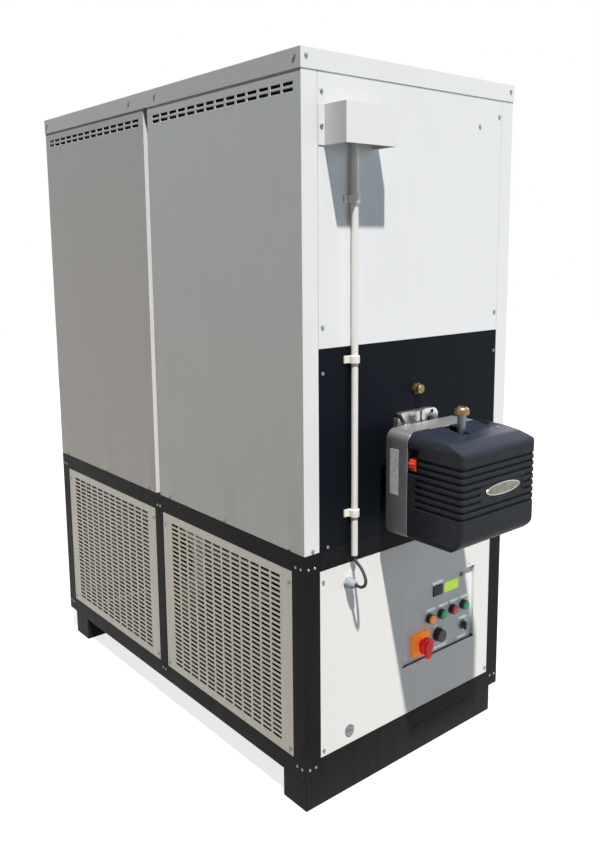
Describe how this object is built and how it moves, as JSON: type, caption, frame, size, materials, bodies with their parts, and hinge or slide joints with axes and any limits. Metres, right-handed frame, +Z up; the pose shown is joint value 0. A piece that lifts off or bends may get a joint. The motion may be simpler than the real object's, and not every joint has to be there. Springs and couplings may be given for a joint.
{
  "type": "warm air heater",
  "caption": "Upright sheet steel warm air heater on a slotted tube base, with a gas burner and a recessed control panel on its front.",
  "frame": {"origin": "centre of the whole object's box in X and Y, on the floor under the skids", "axes": "+Z up, -Y out of the front with the burner, +Y out of the rear with the flue, +X to the right seen from the front"},
  "size_m": [0.7774, 1.77, 1.85],
  "materials": {
    "frame_black": "satin black paint",
    "grille_paint": "light beige grey powder coat",
    "cabinet_white": "light grey-white powder coat",
    "burner_plate_paint": "blue-black satin paint",
    "black_plastic": "black moulded plastic",
    "zinc": "galvanised sheet",
    "screw_zinc": "zinc plated",
    "lens_amber": "amber lens",
    "lens_green": "green lens",
    "lens_red": "red lens",
    "switch_orange": "yellow-orange plastic",
    "switch_red": "red plastic",
    "damper_red": "red plastic",
    "bezel_metal": "satin chrome",
    "brass": "turned brass",
    "gland_grey": "light grey plastic",
    "cable_black": "black cable jacket",
    "conduit_white": "light grey-white conduit",
    "clip_cream": "cream plastic",
    "heat_steel": "heat stained steel",
    "shaft_steel": "turned steel",
    "motor_grey": "dark grey motor paint",
    "pulley_iron": "cast iron",
    "belt_rubber": "black rubber",
    "cast_aluminium": "die cast aluminium",
    "cover_anthracite": "anthracite gloss plastic",
    "pipe_steel": "grey steel pipe"
  },
  "bodies": {
    "cabinet": {"base_posts": "frame_black", "base_rails": "frame_black", "skids": "frame_black", "grille_left_front": "grille_paint", "grille_left_rear": "grille_paint", "grille_right_front": "grille_paint", "grille_right_rear": "grille_paint", "lower_front_panel": "cabinet_white", "lower_rear_panel": "cabinet_white", "control_pan": "cabinet_white", "display_module": "black_plastic", "lamp_bezels": "black_plastic", "lamp_lens_amber": "lens_amber", "lamp_lenses_green": "lens_green", "lamp_lens_red": "lens_red", "main_switch_plate": "switch_orange", "selector_bezel": "bezel_metal", "lock_housing": "bezel_metal", "control_box": "zinc", "cable_gland": "gland_grey", "probe_cable": "cable_black", "conduit_pipe": "conduit_white", "conduit_clips": "clip_cream", "limit_thermostat": "black_plastic", "sensor_cover": "cabinet_white", "casing_posts": "cabinet_white", "side_panel_left_front": "cabinet_white", "side_panel_left_rear": "cabinet_white", "side_panel_right_front": "cabinet_white", "side_panel_right_rear": "cabinet_white", "front_upper_panel": "cabinet_white", "burner_plate": "burner_plate_paint", "rear_panels": "cabinet_white", "lid": "cabinet_white", "panel_screws": "screw_zinc", "deck_plate": "zinc", "combustion_chamber": "heat_steel", "exchanger_tubes": "heat_steel", "smoke_boxes": "heat_steel", "sight_glass": "brass", "blower_housing": "zinc", "fan_motor": "motor_grey", "drive_belt": "belt_rubber", "burner_flange": "cast_aluminium", "burner_casting": "cast_aluminium", "blast_tube": "heat_steel", "burner_motor": "motor_grey", "gas_inlet_pipe": "pipe_steel", "union_nut": "brass"},
    "main_switch": {"main_switch_knob": "switch_red"},
    "thermostat": {"thermostat_knob": "black_plastic"},
    "selector": {"selector_knob": "black_plastic"},
    "reset": {"reset_button": "brass"},
    "lock": {"lock_barrel": "bezel_metal"},
    "damper": {"damper_knob": "damper_red"},
    "cover": {"burner_cover": "cover_anthracite"},
    "combustion_fan": {"burner_fan": "zinc"},
    "blower": {"blower_wheel": "zinc", "blower_shaft": "shaft_steel"},
    "motor_drive": {"motor_pulley": "pulley_iron"}
  },
  "joints": [
    {"name": "main_switch_turn", "type": "hinge", "parent": "cabinet", "child": "main_switch", "pos_m": [0.039, -0.596, 0.316], "axis": [0, 1, 0], "range_deg": [0, 90]},
    {"name": "thermostat_turn", "type": "hinge", "parent": "cabinet", "child": "thermostat", "pos_m": [0.117, -0.6, 0.317], "axis": [0, 1, 0], "range_deg": [-135, 135]},
    {"name": "selector_turn", "type": "hinge", "parent": "cabinet", "child": "selector", "pos_m": [0.226, -0.6, 0.313], "axis": [0, 1, 0], "range_deg": [-45, 45]},
    {"name": "reset_press", "type": "slide", "parent": "cabinet", "child": "reset", "axis": [0, 1, 0], "range_m": [0, 0.003], "stiffness_N_per_m": 400},
    {"name": "lock_turn", "type": "hinge", "parent": "cabinet", "child": "lock", "pos_m": [-0.236, -0.598, 0.168], "axis": [0, 1, 0], "range_deg": [0, 90]},
    {"name": "damper_turn", "type": "hinge", "parent": "cabinet", "child": "damper", "pos_m": [-0.134, -0.728, 0.887], "axis": [0, 1, 0], "range_deg": [0, 90]},
    {"name": "cover_pull", "type": "slide", "parent": "cabinet", "child": "cover", "axis": [0, -1, 0], "range_m": [0, 0.22]},
    {"name": "combustion_fan_spin", "type": "hinge", "parent": "cabinet", "child": "combustion_fan", "pos_m": [-0.012, -0.68, 0.78], "axis": [0, 1, 0], "continuous": true},
    {"name": "blower_spin", "type": "hinge", "parent": "cabinet", "child": "blower", "pos_m": [0, 0.37, 0.37], "axis": [1, 0, 0], "continuous": true},
    {"name": "motor_spin", "type": "hinge", "parent": "cabinet", "child": "motor_drive", "pos_m": [0.2, -0.18, 0.221], "axis": [1, 0, 0], "continuous": true}
  ],
  "couplings": [
    {"joint": "motor_spin", "follows": "blower_spin", "ratio": 2}
  ]
}
